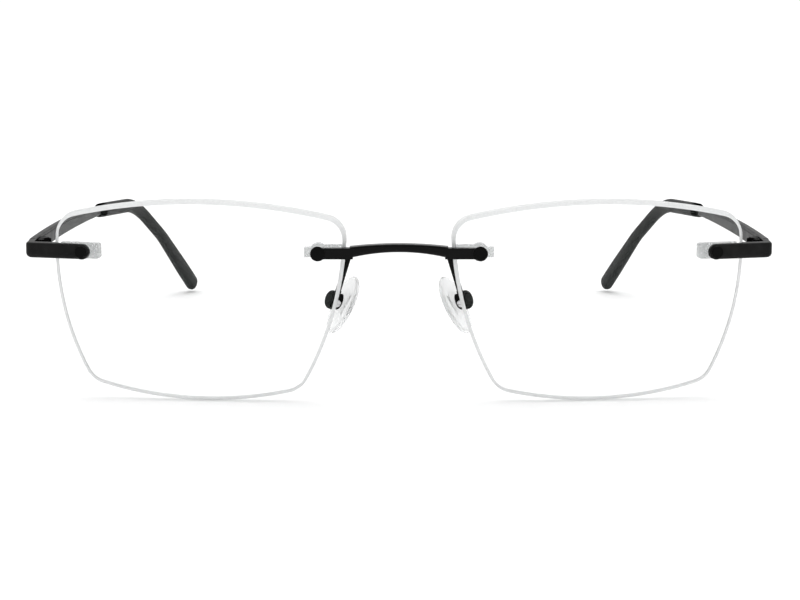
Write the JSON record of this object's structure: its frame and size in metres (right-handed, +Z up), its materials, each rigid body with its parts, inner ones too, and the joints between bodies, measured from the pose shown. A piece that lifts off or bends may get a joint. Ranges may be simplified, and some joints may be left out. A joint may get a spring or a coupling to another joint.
{
  "type": "rimless eyeglasses",
  "caption": "Rimless eyeglasses: clear rectangular lenses on a slim black bridge and endpieces, adjustable clear nose pads, and black folding temples with curved tips.",
  "frame": {"origin": "on the surface the glasses stand on, at the centre of their footprint box", "axes": "+X towards the wearer's left across the front, +Y from the lenses back along the temples, +Z up; the front faces -Y"},
  "size_m": [0.1412, 0.1448, 0.0392],
  "materials": {
    "lens": "clear polished demo lens, ground matt on its edge",
    "clear_bushing": "clear moulded plastic",
    "clear_pad": "clear soft silicone",
    "clear_core": "clear hard plastic",
    "black_frame": "satin black coating",
    "black_temple": "matt black coating",
    "black_screw": "blackened steel",
    "steel_screw": "turned steel",
    "black_tip": "soft-touch satin black"
  },
  "bodies": {
    "front": {"bridge": "black_frame", "lens_left": "lens", "lens_right": "lens", "bridge_stud_left": "black_frame", "bridge_stud_right": "black_frame", "bridge_bushing_left": "clear_bushing", "bridge_bushing_right": "clear_bushing", "endpiece_left": "black_frame", "endpiece_right": "black_frame", "endpiece_stud_left": "black_frame", "endpiece_stud_right": "black_frame", "endpiece_bushing_left": "clear_bushing", "endpiece_bushing_right": "clear_bushing", "hinge_front_left": "black_frame", "hinge_front_right": "black_frame", "hinge_screw_left": "black_screw", "hinge_screw_right": "black_screw", "hinge_rivet_left": "black_screw", "hinge_rivet_right": "black_screw", "pad_arm_left": "black_frame", "pad_arm_right": "black_frame", "pad_box_left": "black_frame", "pad_box_right": "black_frame", "pad_screw_left": "steel_screw", "pad_screw_right": "steel_screw"},
    "temple_left": {"temple_left": "black_temple", "temple_tip_left": "black_tip", "hinge_rear_left": "black_frame"},
    "pad_left": {"nose_pad_left": "clear_pad", "pad_core_left": "clear_core"},
    "temple_right": {"temple_right": "black_temple", "temple_tip_right": "black_tip", "hinge_rear_right": "black_frame"},
    "pad_right": {"nose_pad_right": "clear_pad", "pad_core_right": "clear_core"}
  },
  "joints": [
    {"name": "temple_right_fold", "type": "hinge", "parent": "front", "child": "temple_right", "pos_m": [-0.0677, -0.05946, 0.02891], "axis": [0, 0, -1], "range_deg": [0, 80]},
    {"name": "temple_left_fold", "type": "hinge", "parent": "front", "child": "temple_left", "pos_m": [0.0677, -0.05946, 0.02891], "axis": [0, 0, 1], "range_deg": [0, 72]},
    {"name": "nose_pad_right_rock", "type": "hinge", "parent": "front", "child": "pad_right", "pos_m": [-0.01226, -0.06312, 0.01921], "axis": [-0.3193, 0.8597, 0.3988], "range_deg": [-8, 8]},
    {"name": "nose_pad_left_rock", "type": "hinge", "parent": "front", "child": "pad_left", "pos_m": [0.01226, -0.06312, 0.01921], "axis": [0.3193, 0.8597, 0.3988], "range_deg": [-8, 8]}
  ]
}
